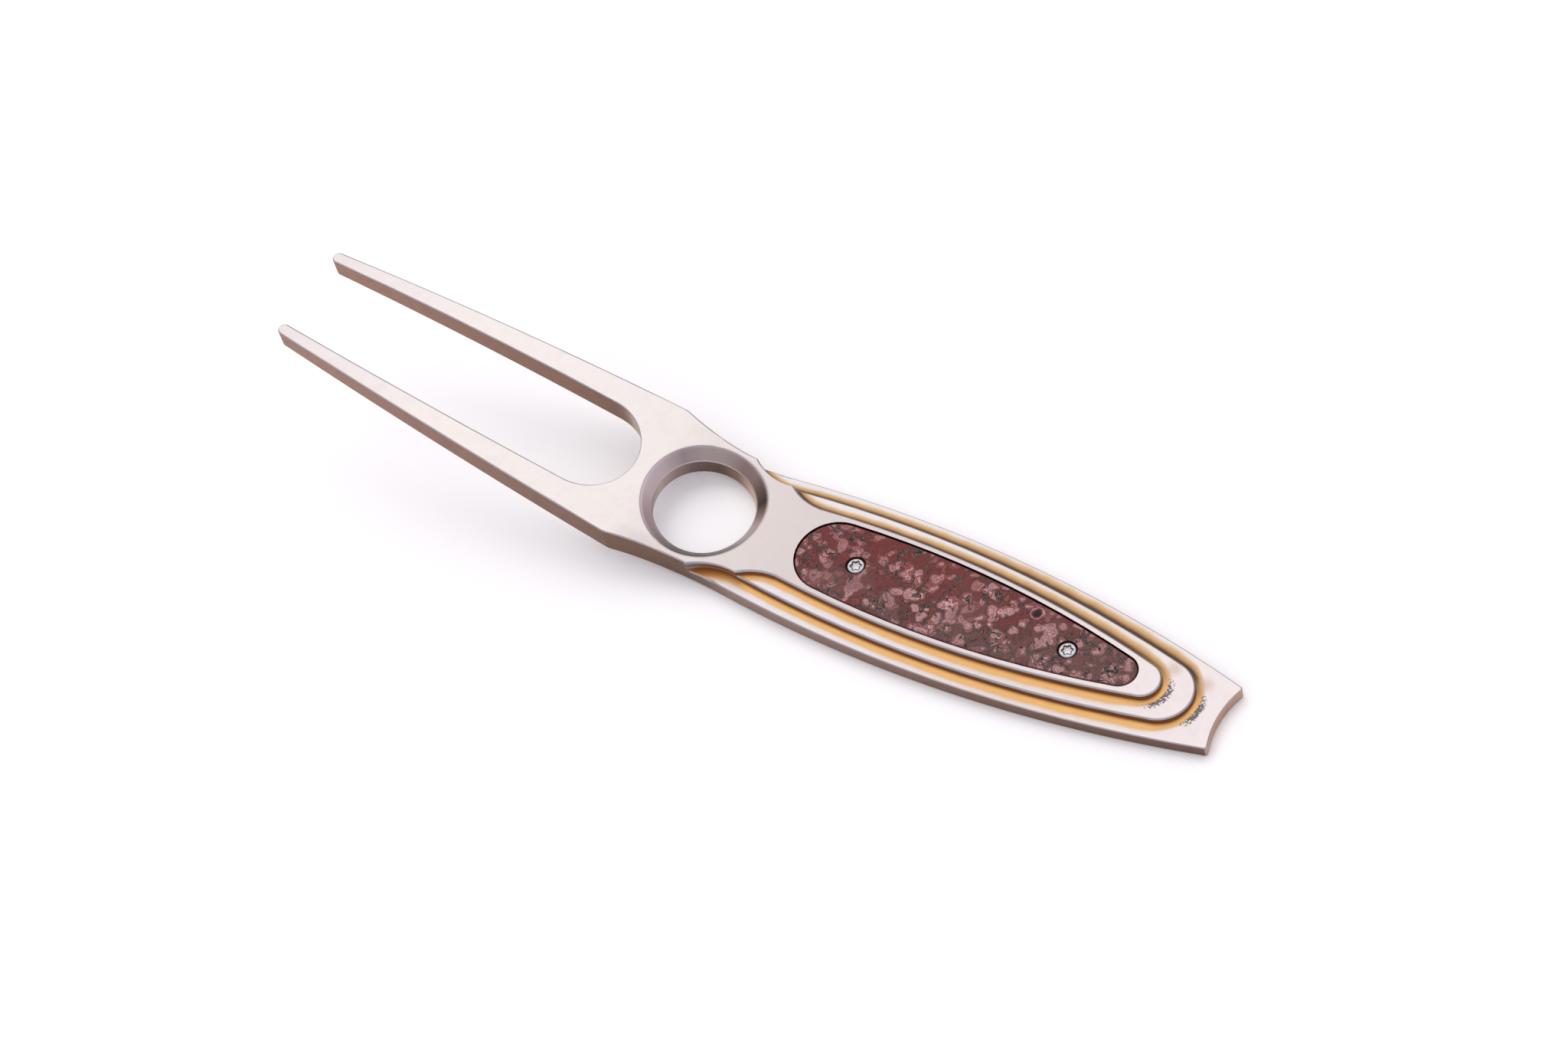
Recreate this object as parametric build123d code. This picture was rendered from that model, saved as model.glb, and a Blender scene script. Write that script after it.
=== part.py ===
from build123d import *
from math import atan, cos, degrees, hypot, radians, sin, sqrt
import os

os.makedirs("parts", exist_ok=True)

# Divot repair tool: a one-piece titanium body (fork, ring and stepped handle) with a polished
# stone inlay that sits on a thin liner in a pocket and is held by two six-lobe screws.
#
# The parts are drawn with X along the tool, measured from the ring (fork at negative X, tail at
# positive X), Y across it, and Z measured from the flat top of the handle. At the end everything
# is set down on the flat back of the handle, with the origin at the bottom centre of its box.

# ---- driving dimensions, mm and degrees ----
FORK_END_X = -61.3            # ends of the prongs
TAIL_X = 76.4                 # deepest point of the hollow in the tail
TAIL_CORNER_REACH = 0.95      # how far the two tail corners stand out past the hollow
TAIL_CORNER_RADIUS = 0.45

HANDLE_PEAK_X = 30.0          # where the handle is widest
HANDLE_HALF_WIDTH = 10.72
HANDLE_SIDE_RADIUS = 197.6
NECK_X = 3.0                  # narrowest point, beside the ring
NECK_RADIUS = 45.0
SHOULDER_X = -8.9             # corner where the neck meets the fork
SHOULDER_ROUNDING = 1.5

SLOT_HALF_WIDTH = 6.73
SLOT_END_X = -10.77
PRONG_TIP_INNER_Y = 5.74
PRONG_TIP_OUTER_Y = 7.42
PRONG_TIP_ROUNDING = 0.76
SLOT_SIDE_BULGE = (-40.0, 6.50)
FORK_SIDE_BULGE = (-35.0, 9.50)

HANDLE_THICKNESS = 3.95       # at the start of the handle
TAIL_THINNING = 0.53          # how much thinner the handle is at the tail
FORK_THICKNESS = 4.0          # at the bend
PRONG_TIP_THICKNESS = 2.95
BEND_START_X = 8.0
BEND_RADIUS = 42.0
BEND_ANGLE = 14.6
PRONG_TIP_Z = 15.05           # top of the prong tips above the top of the handle
FORK_TOP_CROWN = 0.36         # how far the top of the fork bows above a straight line
FORK_BACK_CROWN = 0.12

RING_TILT = 10.8              # the bore stands square to the bent surface around it
RING_CENTRE = (-0.15, 0.65)   # X and Z of a point on the bore's axis
RING_BORE_RADIUS = 6.92
COUNTERSINK_WIDTH = 1.42      # the countersink follows the bend, so it is equally wide and deep all round
COUNTERSINK_DEPTH = 1.65

STEP = 0.78                   # height of each of the two steps round the handle
PLATEAU_PEAK_X = 30.4
PLATEAU_HALF_WIDTH = 6.69
PLATEAU_SIDE_RADIUS = 156.7
PLATEAU_END_X = 68.15
PLATEAU_SCOOP_X = 14.2
PLATEAU_SCOOP_RADIUS = 8.24
TERRACE_PEAK_X = 30.0
TERRACE_HALF_WIDTH = 8.80
TERRACE_SIDE_RADIUS = 178.6
TERRACE_END_X = 72.6
TERRACE_SCOOP_X = 7.8
TERRACE_SCOOP_RADIUS = 8.7

INLAY_PEAK_X = 31.0
INLAY_HALF_WIDTH = 5.86
INLAY_SIDE_RADIUS = 145.8
INLAY_FRONT_X = 14.68
INLAY_REAR_X = 64.78
POCKET_CLEARANCE = 0.10
POCKET_DEPTH = 1.70
LINER_THICKNESS = 0.25
STONE_THICKNESS = 1.41
STONE_EDGE_ROUNDING = 0.42

SCREW_X = (23.26, 54.85)
HEAD_RADIUS = 1.20
HEAD_HEIGHT = 0.85
HEAD_EDGE_ROUNDING = 0.22
HEAD_RECESS = 0.12            # how far the head sits below the stone
SHANK_RADIUS = 0.76
SHANK_LENGTH = 2.15           # below the head
SHANK_CLEARANCE = 0.02
COUNTERBORE_RADIUS = 1.38
LOBE_OUTER_RADIUS = 0.70
LOBE_INNER_RADIUS = 0.50
LOBE_FLUTE_RADIUS = 0.28
LOBE_CORNER_ROUNDING = 0.05
LOBE_DEPTH = 0.55
SHANK_TIP_CHAMFER = 0.15

BACK_EDGE_ROUNDING = 0.30
EDGE_ROUNDING = 0.22          # upper edges of the body and of its two steps
RIM_ROUNDING = 0.50

UPRIGHT = 0.02                # largest Z of an upright face's normal
LEVEL = 0.5                   # smallest Z of a level face's normal
TOUCH = 0.01                  # places closer than this are the same
RIM_SPREAD = 0.15             # how far the countersink's rim strays from a true circle
CLEAR = 30.0                  # reach of cutting shapes past the part


# ---- plane geometry shared by the outlines ----
def on_circle(centre, radius, towards):
    """The point on a circle in the direction of another point."""
    dx, dy = towards[0] - centre[0], towards[1] - centre[1]
    scale = radius / hypot(dx, dy)
    return (centre[0] + dx * scale, centre[1] + dy * scale)


def arc(centre, start, end):
    """The shorter arc about a centre from start to end."""
    radius = hypot(start[0] - centre[0], start[1] - centre[1])
    chord_middle = ((start[0] + end[0]) / 2, (start[1] + end[1]) / 2)
    return ThreePointArc(start, on_circle(centre, radius, chord_middle), end)


def side_centre(peak_x, half_width, side_radius):
    """Centre of the large arc that forms one long side of a lens shape."""
    return (peak_x, half_width - side_radius)


def nose(centre, side_radius, end_x):
    """Centre of the small arc, tangent to the side, that closes a lens at end_x, and where they meet."""
    reach = abs(end_x - centre[0])
    radius = (side_radius**2 - reach**2 - centre[1]**2) / (2 * (side_radius - reach))
    nose_x = end_x - radius if end_x > centre[0] else end_x + radius
    return (nose_x, 0), on_circle(centre, side_radius, (nose_x, 0))


def lens(peak_x, half_width, side_radius, front_x, rear_x):
    """A lens-shaped face: two long arcs closed by a round nose at each end."""
    centre = side_centre(peak_x, half_width, side_radius)
    front, front_join = nose(centre, side_radius, front_x)
    rear, rear_join = nose(centre, side_radius, rear_x)
    upper = [
        arc(front, (front_x, 0), front_join),
        arc(centre, front_join, rear_join),
        arc(rear, rear_join, (rear_x, 0)),
    ]
    lower = [edge.mirror(Plane.XZ) for edge in upper]
    return make_face(upper + lower)


def beyond_step(peak_x, half_width, side_radius, end_x, scoop_x, scoop_radius):
    """Face of everything outside one step, on the +Y side.

    The step's edge starts with a concave scoop at the neck, runs into the long side arc and
    ends in a round nose at the tail.
    """
    centre = side_centre(peak_x, half_width, side_radius)
    rise = sqrt((side_radius + scoop_radius)**2 - (scoop_x - peak_x)**2)
    scoop = (scoop_x, centre[1] + rise)
    scoop_join = on_circle(centre, side_radius, scoop)
    rear, rear_join = nose(centre, side_radius, end_x)
    start = (scoop[0] - scoop_radius, scoop[1])
    far_x = TAIL_X + CLEAR
    return make_face([
        arc(scoop, start, scoop_join),
        arc(centre, scoop_join, rear_join),
        arc(rear, rear_join, (end_x, 0)),
        Line((end_x, 0), (far_x, 0)),
        Line((far_x, 0), (far_x, scoop[1])),
        Line((far_x, scoop[1]), start),
    ])


# ---- body ----
def plan_outline():
    """The tool seen from above."""
    handle = side_centre(HANDLE_PEAK_X, HANDLE_HALF_WIDTH, HANDLE_SIDE_RADIUS)
    neck_offset = sqrt((HANDLE_SIDE_RADIUS + NECK_RADIUS)**2 - (NECK_X - HANDLE_PEAK_X)**2)
    neck = (NECK_X, handle[1] + neck_offset)
    neck_join = on_circle(handle, HANDLE_SIDE_RADIUS, neck)
    shoulder = (SHOULDER_X, neck[1] - sqrt(NECK_RADIUS**2 - (SHOULDER_X - NECK_X)**2))

    corner_x = TAIL_X + TAIL_CORNER_REACH
    corner_y = handle[1] + sqrt(HANDLE_SIDE_RADIUS**2 - (corner_x - HANDLE_PEAK_X)**2)
    tip_inner = (FORK_END_X, PRONG_TIP_INNER_Y)
    tip_outer = (FORK_END_X, PRONG_TIP_OUTER_Y)
    slot_join_x = SLOT_END_X - SLOT_HALF_WIDTH

    upper = [
        ThreePointArc((slot_join_x, SLOT_HALF_WIDTH), SLOT_SIDE_BULGE, tip_inner),
        Line(tip_inner, tip_outer),
        ThreePointArc(tip_outer, FORK_SIDE_BULGE, shoulder),
        arc(neck, shoulder, neck_join),
        arc(handle, neck_join, (corner_x, corner_y)),
    ]
    lower = [edge.mirror(Plane.XZ) for edge in upper]
    slot_end = ThreePointArc(
        (slot_join_x, SLOT_HALF_WIDTH), (SLOT_END_X, 0), (slot_join_x, -SLOT_HALF_WIDTH)
    )
    tail = ThreePointArc((corner_x, corner_y), (TAIL_X, 0), (corner_x, -corner_y))
    outline = make_face(upper + lower + [slot_end, tail])
    for x, radius in (
        (FORK_END_X, PRONG_TIP_ROUNDING),
        (SHOULDER_X, SHOULDER_ROUNDING),
        (corner_x, TAIL_CORNER_RADIUS),
    ):
        corners = outline.vertices().filter_by_position(Axis.X, x - TOUCH, x + TOUCH)
        outline = fillet(corners, radius)
    return outline


def side_profile():
    """The tool seen from the side: flat handle, a bend at the ring, and the thinning fork."""
    run, fall = sin(radians(BEND_ANGLE)), cos(radians(BEND_ANGLE))
    bend_start = (BEND_START_X, 0)
    bend_end = (BEND_START_X - BEND_RADIUS * run, BEND_RADIUS * (1 - fall))
    tip = (FORK_END_X, PRONG_TIP_Z)
    top_middle = ((bend_end[0] + tip[0]) / 2, (bend_end[1] + tip[1]) / 2 + FORK_TOP_CROWN)

    back_start = (BEND_START_X, -HANDLE_THICKNESS)
    back_end = (bend_end[0] - FORK_THICKNESS * run, bend_end[1] - FORK_THICKNESS * fall)
    back_tip = (FORK_END_X, PRONG_TIP_Z - PRONG_TIP_THICKNESS)
    back_middle = (
        (back_end[0] + back_tip[0]) / 2,
        (back_end[1] + back_tip[1]) / 2 + FORK_BACK_CROWN,
    )
    far_x = TAIL_X + CLEAR
    far_back = (far_x, -HANDLE_THICKNESS + BACK_SLOPE * (far_x - BEND_START_X))
    return make_face([
        Line((far_x, 0), bend_start),
        arc((BEND_START_X, BEND_RADIUS), bend_start, bend_end),
        ThreePointArc(bend_end, top_middle, tip),
        Line(tip, back_tip),
        ThreePointArc(back_tip, back_middle, back_end),
        TangentArc(back_start, back_end, tangent=(-1, 0)),
        Line(back_start, far_back),
        Line(far_back, (far_x, 0)),
    ])


def cut_steps(body):
    """The two terraces that run round the handle and fade out in scoops at the neck."""
    plateau = beyond_step(PLATEAU_PEAK_X, PLATEAU_HALF_WIDTH, PLATEAU_SIDE_RADIUS,
                          PLATEAU_END_X, PLATEAU_SCOOP_X, PLATEAU_SCOOP_RADIUS)
    terrace = beyond_step(TERRACE_PEAK_X, TERRACE_HALF_WIDTH, TERRACE_SIDE_RADIUS,
                          TERRACE_END_X, TERRACE_SCOOP_X, TERRACE_SCOOP_RADIUS)
    for depth, region in ((STEP, plateau), (2 * STEP, terrace)):
        cut = extrude(Plane.XY.offset(-depth) * region, CLEAR)
        body -= cut
        body -= cut.mirror(Plane.XZ)
    return body


def wall_faces(shape):
    """Faces that stand upright: the outline of the tool and the risers of the steps."""
    return [f for f in shape.faces() if abs(f.normal_at(f.center()).Z) < UPRIGHT]


def edges_where(shape, facing, keep):
    """Edges between an upright face and one that faces up (1) or down (-1), if keep(x, y, z)."""
    level = [f for f in shape.faces() if f.normal_at(f.center()).Z * facing > LEVEL]
    level_edges = {edge for face in level for edge in face.edges()}
    found = {edge for face in wall_faces(shape) for edge in face.edges()} & level_edges
    return [edge for edge in found if keep(*(edge @ 0.5))]


def round_edges(body):
    """Round every outer edge, but leave the foot of each riser sharp."""
    def is_foot(x, y, z):
        inside_terrace = abs(y) < TERRACE_HALF_WIDTH and x < TERRACE_END_X + 1
        inside_plateau = abs(y) < PLATEAU_HALF_WIDTH and x < PLATEAU_END_X + 1
        at_ledge = abs(z + 2 * STEP) < TOUCH and inside_terrace
        at_terrace = abs(z + STEP) < TOUCH and inside_plateau
        return at_ledge or at_terrace

    body = fillet(edges_where(body, -1, lambda x, y, z: True), BACK_EDGE_ROUNDING)
    return fillet(edges_where(body, 1, lambda x, y, z: not is_foot(x, y, z)), EDGE_ROUNDING)


def cut_ring(body):
    """The round hole through the bend, with a rounded countersink that follows the bent surface."""
    tilt = radians(RING_TILT)
    axis = Plane(origin=(RING_CENTRE[0], 0, RING_CENTRE[1]), z_dir=(sin(tilt), 0, cos(tilt)))
    body -= axis * Cylinder(RING_BORE_RADIUS, CLEAR)

    def circles(radius):
        """Upper edges that run round the axis at this distance."""
        found = []
        for edge in body.edges():
            points = [axis.to_local_coords(edge @ t) for t in (0, 0.5, 1)]
            if all(p.Z > -TOUCH and abs(hypot(p.X, p.Y) - radius) < RIM_SPREAD for p in points):
                found.append(edge)
        return found

    upper_edges = circles(RING_BORE_RADIUS)
    bore = [face for face in body.faces() if set(upper_edges) <= set(face.edges())]
    body = chamfer(upper_edges, COUNTERSINK_DEPTH, COUNTERSINK_WIDTH, reference=bore[0])
    return fillet(circles(RING_BORE_RADIUS + COUNTERSINK_WIDTH), RIM_ROUNDING)


def make_body():
    body = extrude(plan_outline(), CLEAR, both=True)
    body &= extrude(Plane.XZ * side_profile(), CLEAR, both=True)
    body = cut_ring(round_edges(cut_steps(body)))
    pocket = lens(INLAY_PEAK_X, INLAY_HALF_WIDTH + POCKET_CLEARANCE, INLAY_SIDE_RADIUS,
                  INLAY_FRONT_X - POCKET_CLEARANCE, INLAY_REAR_X + POCKET_CLEARANCE)
    body -= extrude(Plane.XY.offset(-POCKET_DEPTH) * pocket, CLEAR)
    for x in SCREW_X:
        body -= hole(x, SHANK_RADIUS + SHANK_CLEARANCE, SCREW_TIP_Z)
    return body


# ---- inlay and screws ----
def hole(x, radius, floor_z):
    """A round cutting shape on the centre line, open upwards from floor_z."""
    return Pos(x, 0, floor_z) * Cylinder(radius, CLEAR, align=(Align.CENTER, Align.CENTER, Align.MIN))


def inlay_sheet(floor_z, thickness):
    outline = lens(INLAY_PEAK_X, INLAY_HALF_WIDTH, INLAY_SIDE_RADIUS, INLAY_FRONT_X, INLAY_REAR_X)
    return extrude(Plane.XY.offset(floor_z) * outline, thickness)


def make_stone():
    stone = inlay_sheet(LINER_TOP_Z, STONE_THICKNESS)
    stone = fillet(stone.edges().group_by(Axis.Z)[-1], STONE_EDGE_ROUNDING)
    for x in SCREW_X:
        stone -= hole(x, COUNTERBORE_RADIUS, HEAD_SEAT_Z)
        stone -= hole(x, SHANK_RADIUS + SHANK_CLEARANCE, SCREW_TIP_Z)
    return stone


def make_liner():
    liner = inlay_sheet(-POCKET_DEPTH, LINER_THICKNESS)
    for x in SCREW_X:
        liner -= hole(x, SHANK_RADIUS + SHANK_CLEARANCE, SCREW_TIP_Z)
    return liner


def make_screw():
    """A pan-head machine screw with a six-lobe recess; its head stands on Z = 0."""
    bottom = (Align.CENTER, Align.CENTER, Align.MIN)
    head = Cylinder(HEAD_RADIUS, HEAD_HEIGHT, align=bottom)
    head = fillet(head.edges().group_by(Axis.Z)[-1], HEAD_EDGE_ROUNDING)
    flutes = PolarLocations(LOBE_INNER_RADIUS + LOBE_FLUTE_RADIUS, 6) * Circle(LOBE_FLUTE_RADIUS)
    recess = Circle(LOBE_OUTER_RADIUS) - flutes
    recess = fillet(recess.vertices(), LOBE_CORNER_ROUNDING)
    head -= extrude(Plane.XY.offset(HEAD_HEIGHT - LOBE_DEPTH) * recess, LOBE_DEPTH)
    shank = Cylinder(SHANK_RADIUS, SHANK_LENGTH, align=(Align.CENTER, Align.CENTER, Align.MAX))
    shank = chamfer(shank.edges().group_by(Axis.Z)[0], SHANK_TIP_CHAMFER)
    return head + shank


# ---- levels that follow from the driving dimensions ----
BACK_SLOPE = TAIL_THINNING / (TAIL_X - BEND_START_X)
LINER_TOP_Z = -POCKET_DEPTH + LINER_THICKNESS
STONE_TOP_Z = LINER_TOP_Z + STONE_THICKNESS
HEAD_SEAT_Z = STONE_TOP_Z - HEAD_RECESS - HEAD_HEIGHT
SCREW_TIP_Z = HEAD_SEAT_Z - SHANK_LENGTH

screw = make_screw()
parts = {
    "titanium_body": make_body(),
    "stone_inlay": make_stone(),
    "inlay_liner": make_liner(),
    "front_screw": Pos(SCREW_X[0], 0, HEAD_SEAT_Z) * screw,
    "rear_screw": Pos(SCREW_X[1], 0, HEAD_SEAT_Z) * screw,
}

# Turn the flat back level, then put the origin at the bottom centre of the tool's box.
level = Rotation(0, degrees(atan(BACK_SLOPE)), 0)
box = (level * parts["titanium_body"]).bounding_box()
seat = Pos(-box.center().X, -box.center().Y, -box.min.Z) * level
for name, shape in parts.items():
    export_step(seat * shape, f"parts/{name}.step")
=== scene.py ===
from math import cos, pi, radians, sin, sqrt

import bpy
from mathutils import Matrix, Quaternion, Vector


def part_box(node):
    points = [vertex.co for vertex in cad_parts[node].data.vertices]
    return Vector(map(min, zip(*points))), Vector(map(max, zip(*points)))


# Divot repair tool: a blasted titanium body with heat-tinted steps, a polished stone inlay in a
# dark liner and two bright six-lobe screws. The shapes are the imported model's own; this script
# adds the materials, the floor, the light and the camera.

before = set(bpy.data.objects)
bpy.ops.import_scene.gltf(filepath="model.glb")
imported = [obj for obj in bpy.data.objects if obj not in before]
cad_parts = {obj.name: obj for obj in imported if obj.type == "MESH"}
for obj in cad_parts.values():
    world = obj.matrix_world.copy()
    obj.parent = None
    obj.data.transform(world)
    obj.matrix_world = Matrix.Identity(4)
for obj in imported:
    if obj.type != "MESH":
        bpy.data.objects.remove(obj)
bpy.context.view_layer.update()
MM = 0.001

# ---- the handle's own axes, in which the steps are drawn ----
body_low, body_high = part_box("titanium_body")
FORK_REACH = 61.2              # from the prong tips to the ring's centre, mm
TOP_LEVEL = 4.01               # the handle's flat top above the floor at the ring, mm
HANDLE_SLOPE = radians(0.444)  # the handle thins towards the tail, so its top slopes down
ring_origin = Vector((body_low.x + FORK_REACH * MM, 0, TOP_LEVEL * MM))

# ---- outlines of the two steps, mm ----
# "end" is the x of the nose's tip, "scoop" is the x and the radius of the hollow at the neck
STEP = 0.78                    # depth of each step
STEPS_START_X = 2.2            # nothing is stepped nearer the ring than this
PLATEAU = {"peak": 30.4, "half_width": 6.69, "radius": 156.7, "end": 68.15, "scoop": (14.2, 8.24)}
TERRACE = {"peak": 30.0, "half_width": 8.80, "radius": 178.6, "end": 72.6, "scoop": (7.8, 8.7)}

# ---- the ring's bore, which is tilted with the bend, mm ----
BORE_CENTRE = (-0.15, 0.65)    # x and z of a point on its axis
BORE_TILT = radians(10.8)
BORE_RADIUS = 6.92
RIM_RADIUS = 8.5

# ---- the screws, mm ----
FRONT_SCREW_X, REAR_SCREW_X = 23.26, 54.85
RECESS_RADIUS = 0.74
RECESS_RIM_LEVEL = -0.19       # just under the head's level top
LOBE_RADIUS, LOBE_SWING = 0.6, 0.1    # the six-lobe outline's middle radius and how far it swings

# ---- places in the handle's own axes, mm ----
METAL_FRONT_X, METAL_LENGTH = -62.0, 140.0    # where the colours along the body start and how far they run
NOSE_X = 66.0                  # the speckles beside the steps' noses lie beyond this
TAIL_X = 70.0                  # the hollowed tail end lies beyond this
BLACK_SPOT = (48.65, 3.3)      # the stone's one black spot
TINT_REACH = 2.4               # width covered by the heat tint's colour ramps


# ---- colours and node formulas ----
def colour(red, green, blue):
    """A linear colour from its usual 0 to 255 values."""
    def linear(value):
        value /= 255
        return value / 12.92 if value <= 0.04045 else ((value + 0.055) / 1.055) ** 2.4
    return linear(red), linear(green), linear(blue), 1.0


class Term:
    """A number inside a material's node tree, so that a formula reads like one."""

    def __init__(self, tree, socket):
        self.tree, self.socket = tree, socket

    def math(self, operation, *others):
        node = self.tree.nodes.new("ShaderNodeMath")
        node.operation = operation
        for index, value in enumerate((self,) + others):
            if isinstance(value, Term):
                self.tree.links.new(value.socket, node.inputs[index])
            else:
                node.inputs[index].default_value = value
        return Term(self.tree, node.outputs[0])

    def __add__(self, other):
        return self.math("ADD", other)

    def __sub__(self, other):
        return self.math("SUBTRACT", other)

    def __mul__(self, other):
        return self.math("MULTIPLY", other)

    def above(self, limit):
        """1 above the limit and 0 below it."""
        return self.math("GREATER_THAN", limit)

    def below(self, limit):
        """1 below the limit and 0 above it."""
        return self.math("LESS_THAN", limit)

    def size(self):
        return self.math("ABSOLUTE")

    def flipped(self):
        return self.math("MULTIPLY_ADD", -1.0, 1.0)

    def fade(self, start, end):
        """0 at start, 1 at end and smooth between them."""
        node = self.tree.nodes.new("ShaderNodeMapRange")
        node.interpolation_type = "SMOOTHSTEP"
        low, high = min(start, end), max(start, end)
        node.inputs["From Min"].default_value = low
        node.inputs["From Max"].default_value = high
        node.inputs["To Min"].default_value = 0 if start < end else 1
        node.inputs["To Max"].default_value = 1 if start < end else 0
        self.tree.links.new(self.socket, node.inputs["Value"])
        return Term(self.tree, node.outputs[0])


def distance(x, y, centre):
    """Distance from the point x, y to a centre."""
    return ((x - centre[0]).math("POWER", 2.0) + (y - centre[1]).math("POWER", 2.0)).math("SQRT")


def choose(where, chosen, otherwise):
    """One number where the mask is 1 and the other where it is 0."""
    return where * chosen + where.flipped() * otherwise


def mix(tree, factor, first, second):
    """A colour that goes from first to second as factor goes from 0 to 1."""
    node = tree.nodes.new("ShaderNodeMix")
    node.data_type = "RGBA"
    for socket, value in ((node.inputs[0], factor), (node.inputs[6], first), (node.inputs[7], second)):
        if isinstance(value, Term):
            tree.links.new(value.socket, socket)
        elif isinstance(value, bpy.types.NodeSocket):
            tree.links.new(value, socket)
        else:
            socket.default_value = value
    return node.outputs[2]


def ramp(tree, value, stops, length=1.0):
    """A colour read from stops, each a place between 0 and length and a colour."""
    node = tree.nodes.new("ShaderNodeValToRGB")
    elements = node.color_ramp.elements
    while len(elements) < len(stops):
        elements.new(0.5)
    for element, (place, shade) in zip(elements, sorted(stops, key=lambda stop: stop[0])):
        element.position = place / length
        element.color = shade
    tree.links.new((value * (1 / length)).socket, node.inputs[0])
    return node.outputs[0]


def noise(tree, vector, scale, detail=2.0, roughness=0.5):
    """Smooth random values about 0.5, with scale features to the mm."""
    node = tree.nodes.new("ShaderNodeTexNoise")
    node.inputs["Scale"].default_value = scale
    node.inputs["Detail"].default_value = detail
    node.inputs["Roughness"].default_value = roughness
    tree.links.new(vector, node.inputs["Vector"])
    return Term(tree, node.outputs[0])


def warp(tree, vector, scale, amount):
    """The vector pushed about by noise, by up to about half the amount each way."""
    field = tree.nodes.new("ShaderNodeTexNoise")
    field.inputs["Scale"].default_value = scale
    tree.links.new(vector, field.inputs["Vector"])
    push = tree.nodes.new("ShaderNodeVectorMath")
    push.operation = "MULTIPLY_ADD"
    push.inputs[1].default_value = (amount, amount, amount)
    tree.links.new(field.outputs["Color"], push.inputs[0])
    tree.links.new(vector, push.inputs[2])
    return push.outputs[0]


def cell_distance(tree, vector, scale):
    """Distance to the nearest cell centre, in cells."""
    node = tree.nodes.new("ShaderNodeTexVoronoi")
    node.feature = "SMOOTH_F1"
    node.inputs["Scale"].default_value = scale
    node.inputs["Smoothness"].default_value = 0.25
    tree.links.new(vector, node.inputs["Vector"])
    return Term(tree, node.outputs["Distance"])


def new_material(name):
    """A new material, its node tree and its shader."""
    material = bpy.data.materials.new(name)
    material.use_nodes = True
    tree = material.node_tree
    return material, tree, tree.nodes["Principled BSDF"]


def handle_place(tree):
    """The surface point in the handle's own axes, in mm: the vector and its x, y and z."""
    coordinates = tree.nodes.new("ShaderNodeTexCoord")
    mapping = tree.nodes.new("ShaderNodeMapping")
    mapping.vector_type = "TEXTURE"
    mapping.inputs["Location"].default_value = ring_origin
    mapping.inputs["Rotation"].default_value = (0, HANDLE_SLOPE, 0)
    mapping.inputs["Scale"].default_value = (MM, MM, MM)
    tree.links.new(coordinates.outputs["Object"], mapping.inputs["Vector"])
    parts = tree.nodes.new("ShaderNodeSeparateXYZ")
    tree.links.new(mapping.outputs[0], parts.inputs[0])
    return mapping.outputs[0], [Term(tree, output) for output in parts.outputs]


def surface_normal(tree):
    """The x, y and z of the surface's direction."""
    coordinates = tree.nodes.new("ShaderNodeTexCoord")
    parts = tree.nodes.new("ShaderNodeSeparateXYZ")
    tree.links.new(coordinates.outputs["Normal"], parts.inputs[0])
    return [Term(tree, output) for output in parts.outputs]


def bump(tree, height, strength, depth):
    """A surface direction roughened by a height; the depth is in metres."""
    node = tree.nodes.new("ShaderNodeBump")
    node.inputs["Strength"].default_value = strength
    node.inputs["Distance"].default_value = depth
    tree.links.new(height.socket, node.inputs["Height"])
    return node.outputs[0]


# ---- titanium ----
def outside_step(x, y, step):
    """Distance out from a step's edge: scoop at the neck, long side arc, round nose at the tail."""
    peak, radius = step["peak"], step["radius"]
    centre_y = step["half_width"] - radius
    side = distance(x, y, (peak, centre_y)) - radius

    reach = step["end"] - peak
    nose_radius = (radius**2 - reach**2 - centre_y**2) / (2 * (radius - reach))
    nose_x = step["end"] - nose_radius
    nose_join = peak + (nose_x - peak) * radius / sqrt((nose_x - peak)**2 + centre_y**2)
    nose = distance(x, y, (nose_x, 0)) - nose_radius

    scoop_x, scoop_radius = step["scoop"]
    scoop_y = centre_y + sqrt((radius + scoop_radius)**2 - (scoop_x - peak)**2)
    scoop = (distance(x, y, (scoop_x, scoop_y)) - scoop_radius) * -1.0

    rear = choose(x.above(nose_join), nose, side)
    return choose(x.below(scoop_x), scoop, rear)


def level_metal(tree, place, x, y, z):
    """Blasted level surfaces, a little mottled, with painted shade: warm white on the fork and greyer
    beside the ring, where the bend turns the surface to the light.
    """
    # painted shade: the level colour along the body stands in for the light that the fork and the handle
    # catch at their different tilts
    shade = ramp(tree, x - METAL_FRONT_X, [(at - METAL_FRONT_X, tone) for at, tone in (
        (-61, colour(236, 229, 226)), (-48, colour(242, 234, 231)), (-38, colour(246, 239, 234)),
        (-9, colour(247, 240, 235)), (6, colour(224, 214, 211)), (16, colour(219, 209, 206)),
        (40, colour(224, 214, 212)), (66, colour(238, 229, 226)), (77, colour(240, 231, 228)))],
        METAL_LENGTH)
    # the ledges are whiter than the plateau, and the narrow strip of metal beside the ring is greyer
    ledge = z.fade(-0.4 * STEP, -0.6 * STEP) * x.fade(60.0, 30.0)
    shade = mix(tree, ledge, shade, colour(234, 228, 229))
    narrow = y.fade(-7.4, -9.2) * x.fade(-9.0, -4.0) * x.fade(6.0, 1.0)
    shade = mix(tree, narrow, shade, colour(228, 218, 213))
    mottle = noise(tree, place, 0.5, 4.0, 0.6)
    shade = mix(tree, mottle.fade(0.45, 0.75) * 0.12, shade, colour(206, 190, 182))
    specks = noise(tree, place, 4.5, 2.0, 0.7)
    return mix(tree, specks.fade(0.6, 0.78) * 0.25, shade, colour(150, 138, 134))


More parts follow.
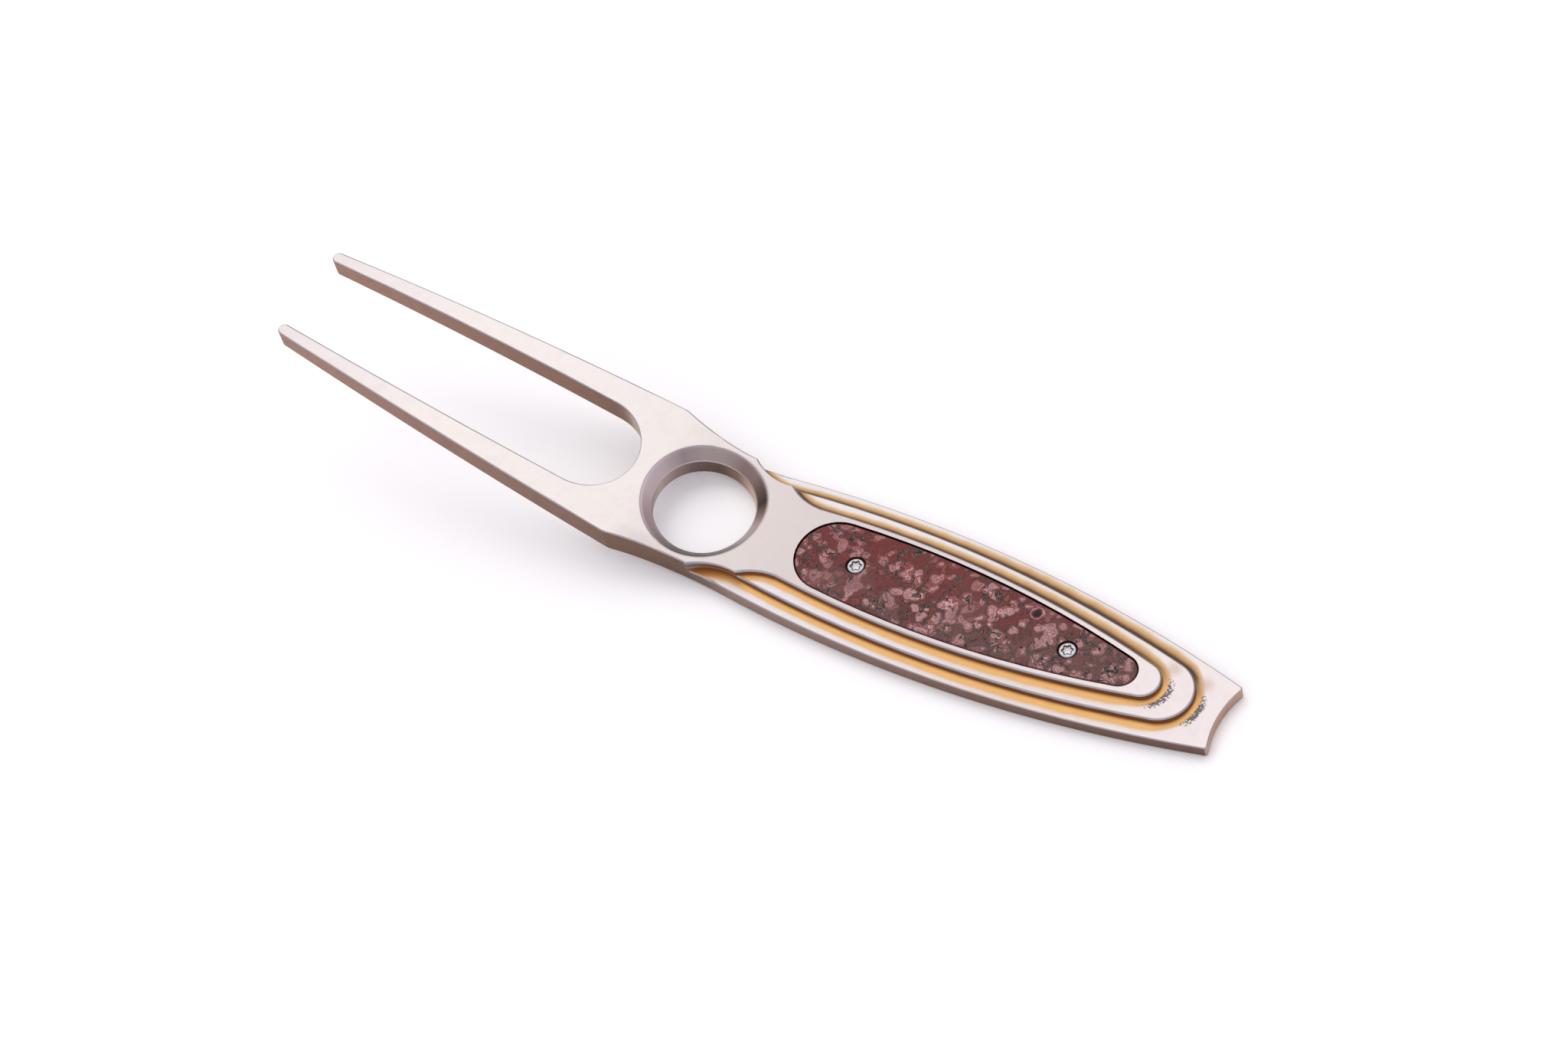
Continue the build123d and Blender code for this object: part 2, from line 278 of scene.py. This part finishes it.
def heat_tint_and_shade(tree, place, x, y, away, nose_x, base):
    """Gold tint on the ledge round one step, with painted light and shade, by the distance away from that
    step's edge.

    The near side is bright gold almost from the edge, and the far side starts as a dark line of painted
    shade.
    The tint widens towards the tail and narrows again round the nose, whose tip is at nose_x.
    """
    wander = (noise(tree, place, 0.4, 3.0) - 0.5) * 0.35
    spread = x.fade(10.0, 58.0) * 0.3 - x.fade(nose_x - 5.0, nose_x + 1.0) * 0.35 + 0.85
    out = (away + wander * away).math("DIVIDE", spread)
    # painted shade: the near side is darker right at the foot of the step
    near_tone = ramp(tree, out, [
        (0.00, colour(170, 122, 86)), (0.08, colour(222, 166, 112)), (0.20, colour(252, 200, 132)),
        (0.60, colour(248, 194, 118)), (0.84, colour(236, 186, 124)), (1.05, colour(226, 190, 152)),
        (1.30, colour(230, 208, 188))], TINT_REACH)
    near = mix(tree, out.fade(1.7, 0.9), base, near_tone)
    neck = x.fade(13.0, 4.0) * out.fade(2.2, 1.2)
    near = mix(tree, neck * 0.7, near, colour(224, 160, 84))
    # painted shade: the far side's dark line at the foot of the step
    far_tone = ramp(tree, out, [
        (0.30, colour(90, 72, 62)), (0.48, colour(104, 80, 64)), (0.60, colour(150, 118, 86)),
        (0.80, colour(190, 151, 108)), (1.00, colour(210, 172, 124)), (1.25, colour(222, 192, 154)),
        (1.50, colour(230, 214, 202))], TINT_REACH)
    far = mix(tree, out.fade(1.75, 1.15), base, far_tone)
    # painted light: the near side is brighter gold and the far side duller tan, as the two sides catch the
    # light
    tinted = mix(tree, y.fade(-1.0, 4.5), near, far)

    # soot-like speckles beside the gold at the nose, and a soft brown smear on the far side
    crescent = away.fade(0.6, 0.95) * away.fade(2.0, 1.2) * y.fade(-4.0, -1.8) * y.fade(2.6, 0.3)
    grains = noise(tree, place, 4.2, 2.0, 0.7) + crescent * 0.22
    stipple = grains.fade(0.62, 0.66) * crescent.fade(0.1, 0.3) * x.above(NOSE_X)
    tinted = mix(tree, stipple * 0.85, tinted, colour(76, 68, 68))
    smear = distance(x, y, (nose_x + 0.2, 3.4)).fade(1.7, 0.2)
    return mix(tree, smear * 0.5, tinted, colour(206, 176, 154))


def wall_metal(tree, place, x, y, z, facing):
    """Upright and rounded surfaces: brown walls darkened by painted shade, risers with a painted highlight
    and painted shade, and edges with painted blue-grey reflections.
    """
    facing_x, facing_y, facing_z = facing
    # painted shade: the walls' darkness along the body stands in for the dark surroundings they reflect,
    # over their brown colour
    shade = ramp(tree, x - METAL_FRONT_X, [(at - METAL_FRONT_X, tone) for at, tone in (
        (-56, colour(150, 114, 98)), (-25, colour(139, 104, 87)), (-8, colour(124, 96, 80)),
        (2, colour(118, 93, 80)), (9, colour(150, 127, 118)), (20, colour(148, 122, 110)),
        (40, colour(133, 104, 91)), (60, colour(120, 93, 80)), (74, colour(118, 93, 81)))],
        METAL_LENGTH)
    # painted reflection: the slot's end and the tail's end are lighter where they face the lit floor
    slot_end = x.fade(-18.0, -14.0) * x.fade(-10.0, -11.0) * facing_x.fade(0.0, -0.5)
    shade = mix(tree, slot_end, shade, colour(196, 170, 148))
    tail_end = facing_x.fade(0.4, 0.75) * x.above(TAIL_X)
    shade = mix(tree, tail_end, shade, colour(192, 156, 134))
    streaks = noise(tree, place, 0.8, 4.0, 0.65)
    shade = mix(tree, streaks.fade(0.45, 0.75) * 0.3, shade, colour(96, 76, 66))

    # the two risers go from a blue-grey top over a dark line to a brown foot; the blue-grey top is a
    # painted highlight and the dark line is painted shade
    riser = x.above(STEPS_START_X) * z.above(-2.1 * STEP)
    riser_depth = choose(z.above(-1.02 * STEP), z * -1.0, (z + STEP) * -1.0)
    riser_shade = ramp(tree, riser_depth, [
        (0.12, colour(140, 136, 142)), (0.30, colour(92, 78, 74)), (0.50, colour(126, 98, 82)),
        (0.78, colour(150, 106, 76))], STEP + 0.02)
    shade = mix(tree, riser, shade, riser_shade)
    # painted reflection: the rounded edges are blue-grey, lighter facing the near side and darker facing
    # the far side, and brown underneath
    rounded = facing_z.size().fade(0.25, 0.6)
    upper_edge = mix(tree, facing_y.fade(-0.1, 0.3), colour(176, 168, 174), colour(132, 124, 128))
    edge = mix(tree, facing_z.above(0), colour(146, 124, 116), upper_edge)
    return mix(tree, rounded, shade, edge)


def ring_metal(tree, radius_out, azimuth):
    """The countersink's turned cone and the bore below it, with painted light and shade that change as
    they go round.
    """
    turn = azimuth * (0.5 / pi) + 0.5
    # painted light and shade: the colours round the ring stand in for the reflections the turned metal
    # catches
    cone = ramp(tree, turn, [(0.5 + angle / 360, tone) for angle, tone in (
        (-180, colour(208, 193, 198)), (-165, colour(217, 203, 207)), (-150, colour(219, 201, 207)),
        (-135, colour(206, 188, 190)), (-120, colour(190, 172, 174)), (-105, colour(152, 138, 137)),
        (-88, colour(102, 93, 93)), (-62, colour(92, 82, 85)), (-45, colour(120, 107, 106)),
        (-30, colour(140, 129, 129)), (-14, colour(188, 176, 175)), (2, colour(208, 188, 182)),
        (15, colour(164, 141, 131)), (29, colour(90, 74, 67)), (45, colour(130, 112, 106)),
        (60, colour(160, 140, 136)), (76, colour(146, 128, 126)), (100, colour(168, 154, 152)),
        (120, colour(168, 156, 156)), (142, colour(156, 144, 147)), (165, colour(196, 182, 185)),
        (180, colour(208, 193, 198)))])
    bore = ramp(tree, turn, [(0.5 + angle / 360, tone) for angle, tone in (
        (-180, colour(200, 182, 174)), (-140, colour(140, 126, 124)), (-60, colour(160, 150, 150)),
        (20, colour(228, 208, 196)), (60, colour(212, 178, 156)), (82, colour(144, 114, 96)),
        (105, colour(100, 82, 73)), (135, colour(122, 104, 99)), (165, colour(178, 157, 150)),
        (180, colour(200, 182, 174)))])
    inner_edge = radius_out.fade(BORE_RADIUS + 0.03, BORE_RADIUS + 0.09)
    # painted highlight: a thin bright line at the bore's top edge
    bright_line = inner_edge * radius_out.fade(BORE_RADIUS + 0.22, BORE_RADIUS + 0.12)
    shade = mix(tree, inner_edge, bore, cone)
    return mix(tree, bright_line * 0.45, shade, colour(226, 216, 212))


def titanium():
    """The body: blasted level surfaces, tinted ledges, brown walls and the turned ring, with much of their
    light and shade painted into the colours.
    """
    material, tree, shader = new_material("blasted_titanium")
    place, (x, y, z) = handle_place(tree)
    facing = surface_normal(tree)
    facing_z = facing[2]

    from_plateau = outside_step(x, y.size(), PLATEAU)
    from_terrace = outside_step(x, y.size(), TERRACE)
    on_plateau, on_ledge = z.above(-0.5 * STEP), z.below(-1.5 * STEP)
    stepped = x.above(STEPS_START_X)

    metal = level_metal(tree, place, x, y, z)
    terrace = heat_tint_and_shade(tree, place, x, y, from_plateau, PLATEAU["end"], metal)
    ledge = heat_tint_and_shade(tree, place, x, y, from_terrace, TERRACE["end"], metal)
    tinted = mix(tree, on_ledge, terrace, ledge)
    metal = mix(tree, on_plateau.flipped() * stepped * facing_z.above(0), metal, tinted)

    # painted shade: a thin grey line along the rounded top edge of each step, darker on the far side
    edge = choose(on_plateau, from_plateau, from_terrace)
    edge_line = edge.fade(-0.34, -0.12) * edge.below(0.05) * stepped * on_ledge.flipped()
    edge_tone = mix(tree, y.fade(-1.0, 4.0), colour(158, 156, 162), colour(132, 120, 124))
    metal = mix(tree, edge_line, metal, edge_tone)

    wall = wall_metal(tree, place, x, y, z, facing)
    metal = mix(tree, facing_z.size().fade(0.98, 0.9), metal, wall)

    along = (x - BORE_CENTRE[0]) * cos(BORE_TILT) - (z - BORE_CENTRE[1]) * sin(BORE_TILT)
    radius_out = distance(along, y, (0, 0))
    ring = ring_metal(tree, radius_out, y.math("ARCTAN2", along))
    in_ring = radius_out.fade(RIM_RADIUS + 0.3, RIM_RADIUS - 0.35)
    metal = mix(tree, in_ring, metal, ring)
    tree.links.new(metal, shader.inputs["Base Color"])

    shader.inputs["Metallic"].default_value = 1.0
    patches = noise(tree, place, 0.9, 3.0)
    tree.links.new((patches * 0.12 + 0.36).socket, shader.inputs["Roughness"])
    on_cone = in_ring * radius_out.fade(BORE_RADIUS + 0.1, BORE_RADIUS + 0.3)
    turned = (radius_out * 20.0).math("SINE") * on_cone * 0.12    # faint lathe rings
    grain = noise(tree, place, 6.0, 3.0, 0.7) + turned
    tree.links.new(bump(tree, grain, 0.5, 0.02 * MM), shader.inputs["Normal"])
    return material


# ---- stone ----
def stone():
    """Polished agate-like stone: mauve blobs, each ringed with pale and dark lines, in dark red."""
    material, tree, shader = new_material("polished_stone")
    place, (x, y, z) = handle_place(tree)
    facing_z = surface_normal(tree)[2]
    region = noise(tree, place, 0.14, 2.0)
    merging = noise(tree, place, 0.38)    # where the blobs run into each other
    bent = warp(tree, warp(tree, place, 0.5, 2.2), 1.5, 0.5)
    level = cell_distance(tree, bent, 0.62) + (merging - 0.5) * 1.1 - 0.07
    pattern = ramp(tree, level, [
        (0.00, colour(166, 118, 122)), (0.06, colour(134, 82, 86)), (0.10, colour(206, 168, 172)),
        (0.14, colour(144, 90, 92)), (0.19, colour(152, 100, 102)), (0.25, colour(204, 162, 164)),
        (0.29, colour(140, 84, 84)), (0.36, colour(116, 56, 54)), (0.40, colour(160, 104, 100)),
        (0.43, colour(92, 48, 46)), (0.455, colour(34, 22, 20)), (0.48, colour(88, 70, 62)),
        (0.51, colour(78, 58, 52)), (0.54, colour(34, 20, 20)), (0.58, colour(92, 40, 38)),
        (0.64, colour(124, 56, 52)), (0.70, colour(82, 34, 34)), (0.78, colour(112, 44, 42)),
        (0.88, colour(62, 28, 28)), (1.00, colour(96, 38, 36))])
    clouds = noise(tree, place, 0.9, 3.0, 0.6)
    pattern = mix(tree, clouds.fade(0.45, 0.8) * 0.35, pattern, colour(70, 34, 34))
    # redder at the far front, greyer at the near rear
    red = (region + (y * 0.03 - x * 0.006)).fade(0.20, 0.46)
    pattern = mix(tree, red * 0.45, pattern, colour(108, 32, 29))
    grey = (region - (y * 0.03 - x * 0.006)).fade(0.66, 0.9)
    pattern = mix(tree, grey * 0.35, pattern, colour(104, 84, 82))
    # dark double lines that wind between the blobs in some places
    winding = (noise(tree, bent, 0.45, 1.0) - 0.5).size()
    where = noise(tree, place, 0.3, 1.0).fade(0.42, 0.5)
    pattern = mix(tree, winding.fade(0.030, 0.022) * where, pattern, colour(34, 24, 22))
    pattern = mix(tree, winding.fade(0.012, 0.008) * where, pattern, colour(92, 76, 68))

    spot = distance(x, y, BLACK_SPOT) + (noise(tree, place, 1.3) - 0.5) * 1.1
    pattern = mix(tree, spot.fade(0.95, 0.86), pattern, colour(176, 130, 128))
    pattern = mix(tree, spot.fade(0.8, 0.7), pattern, colour(96, 42, 40))
    pattern = mix(tree, spot.fade(0.52, 0.44), pattern, colour(14, 10, 22))
    # painted shade: the stone's rounded edge is darker, as it reflects little light
    rounded = facing_z.fade(0.97, 0.8)
    pattern = mix(tree, rounded * 0.75, pattern, colour(88, 34, 36))
    tree.links.new(pattern, shader.inputs["Base Color"])
    tree.links.new((clouds * 0.1 + 0.08).socket, shader.inputs["Roughness"])
    shader.inputs["Specular IOR Level"].default_value = 0.3
    tree.links.new(bump(tree, level, 0.15, 0.03 * MM), shader.inputs["Normal"])
    return material


def liner():
    """The dark sheet under the stone."""
    material, tree, shader = new_material("dark_liner")
    place, _ = handle_place(tree)
    fibre = noise(tree, place, 3.0, 2.0)
    shade = mix(tree, fibre, colour(50, 34, 38), colour(76, 54, 58))
    tree.links.new(shade, shader.inputs["Base Color"])
    shader.inputs["Roughness"].default_value = 0.6
    tree.links.new(bump(tree, fibre, 0.3, 0.02 * MM), shader.inputs["Normal"])
    return material


def steel():
    """Bright screws: pale face, painted blue-grey reflections on the rim, painted shade on the upright
    sides and round the star, and a recess painted white with light.
    """
    material, tree, shader = new_material("bright_steel")
    place, (x, y, z) = handle_place(tree)
    _, _, facing_z = surface_normal(tree)
    streak = noise(tree, place, 4.0, 2.0)
    face = mix(tree, streak, colour(190, 192, 194), colour(222, 222, 222))
    # painted reflection: the sloping parts of the head are blue-grey
    edge = mix(tree, streak, colour(120, 128, 134), colour(160, 166, 170))
    shade = mix(tree, facing_z.fade(0.97, 0.7), face, edge)
    middle = (FRONT_SCREW_X + REAR_SCREW_X) / 2
    along = choose(x.above(middle), x - REAR_SCREW_X, x - FRONT_SCREW_X)
    radius_out, azimuth = distance(along, y, (0, 0)), y.math("ARCTAN2", along)
    # painted shade: the upright sides are dark
    upright = facing_z.fade(0.5, 0.1)
    shade = mix(tree, upright, shade, colour(78, 68, 66))
    # painted light and shade in the recess: a white floor and lower walls, dark upper walls
    recess = mix(tree, upright * z.fade(-0.48, -0.30), colour(255, 252, 250), colour(52, 44, 42))
    deep = radius_out.below(RECESS_RADIUS) * z.below(RECESS_RIM_LEVEL)
    lobes = (azimuth * 6.0).math("COSINE") * LOBE_SWING
    # painted shade: a dark line round the six-lobe outline
    star_line = (radius_out + lobes - LOBE_RADIUS).fade(0.20, 0.08)
    shade = mix(tree, star_line, shade, colour(44, 38, 38))
    # painted reflection: a blue-grey ring towards the head's edge
    shade = mix(tree, radius_out.fade(0.85, 1.15) * 0.7, shade, colour(122, 130, 138))
    shade = mix(tree, deep, shade, recess)
    tree.links.new(deep.flipped().socket, shader.inputs["Metallic"])
    tree.links.new(shade, shader.inputs["Base Color"])
    tree.links.new((streak * 0.15 + 0.2).socket, shader.inputs["Roughness"])
    tree.links.new(bump(tree, noise(tree, place, 9.0), 0.2, 0.01 * MM), shader.inputs["Normal"])
    return material


def dress(node, material):
    """Give a CAD node its material."""
    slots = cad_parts[node].data.materials
    slots.clear()
    slots.append(material)


dress("titanium_body", titanium())
dress("stone_inlay", stone())
dress("inlay_liner", liner())
screw_metal = steel()
dress("front_screw", screw_metal)
dress("rear_screw", screw_metal)


# ---- floor, light and camera ----
FLOOR_SIZE = 6.0
floor_mesh = bpy.data.meshes.new("floor")
half = FLOOR_SIZE / 2
floor_mesh.from_pydata([(-half, -half, 0), (half, -half, 0), (half, half, 0), (-half, half, 0)],
                       [], [(0, 1, 2, 3)])
floor = bpy.data.objects.new("floor", floor_mesh)
bpy.context.scene.collection.objects.link(floor)
floor_material, _, floor_shader = new_material("floor")
floor_shader.inputs["Base Color"].default_value = (0.957, 0.945, 0.965, 1)
floor_shader.inputs["Roughness"].default_value = 0.9
floor_shader.inputs["Specular IOR Level"].default_value = 0.1
floor_mesh.materials.append(floor_material)


def direction(azimuth, elevation):
    """Unit vector: azimuth 0 is along +X and 90 along +Y."""
    azimuth, elevation = radians(azimuth), radians(elevation)
    return Vector((cos(azimuth) * cos(elevation), sin(azimuth) * cos(elevation), sin(elevation)))


def softbox(name, azimuth, elevation, distance_away, width, height, power, tone=(1, 1, 1)):
    """A rectangular light, in metres and watts, that points at the origin."""
    data = bpy.data.lights.new(name, "AREA")
    data.shape = "RECTANGLE"
    data.size, data.size_y, data.energy, data.color = width, height, power, tone
    light = bpy.data.objects.new(name, data)
    light.location = direction(azimuth, elevation) * distance_away
    light.rotation_mode = "QUATERNION"
    light.rotation_quaternion = direction(azimuth, elevation).to_track_quat("Z", "Y")
    bpy.context.scene.collection.objects.link(light)
    return light


# The world gives most of the light. The second softbox lights the floor and the stone, and the metal
# doesn't reflect it.
softbox("key", 135, 58, 1.1, 1.3, 1.0, 0.9)
shadow_light = softbox("shadow_light", 142, 64, 1.1, 0.9, 0.9, 3.3, (1.0, 1.0, 0.94))
shadow_light.visible_glossy = False

world = bpy.data.worlds.new("studio")
world.use_nodes = True
world.node_tree.nodes["Background"].inputs["Color"].default_value = (0.943, 0.925, 0.953, 1)
world.node_tree.nodes["Background"].inputs["Strength"].default_value = 0.95
bpy.context.scene.world = world

bpy.context.scene.view_settings.view_transform = "Standard"

LOOK_AT = Vector((3.215, 1.742, 4.0)) * MM
VIEW_AZIMUTH, VIEW_ELEVATION, VIEW_ROLL = -44.633, 52.949, 17.538
VIEW_DISTANCE = 572.29 * MM
camera_data = bpy.data.cameras.new("camera")
camera_data.sensor_width = 36
camera_data.lens = 100.195
camera_data.clip_start, camera_data.clip_end = 0.01, 20
camera = bpy.data.objects.new("camera", camera_data)
toward_camera = direction(VIEW_AZIMUTH, VIEW_ELEVATION)
camera.location = LOOK_AT + toward_camera * VIEW_DISTANCE
camera.rotation_mode = "QUATERNION"
level_view = toward_camera.to_track_quat("Z", "Y")
camera.rotation_quaternion = level_view @ Quaternion((0, 0, 1), radians(-VIEW_ROLL))
bpy.context.scene.collection.objects.link(camera)
bpy.context.scene.camera = camera
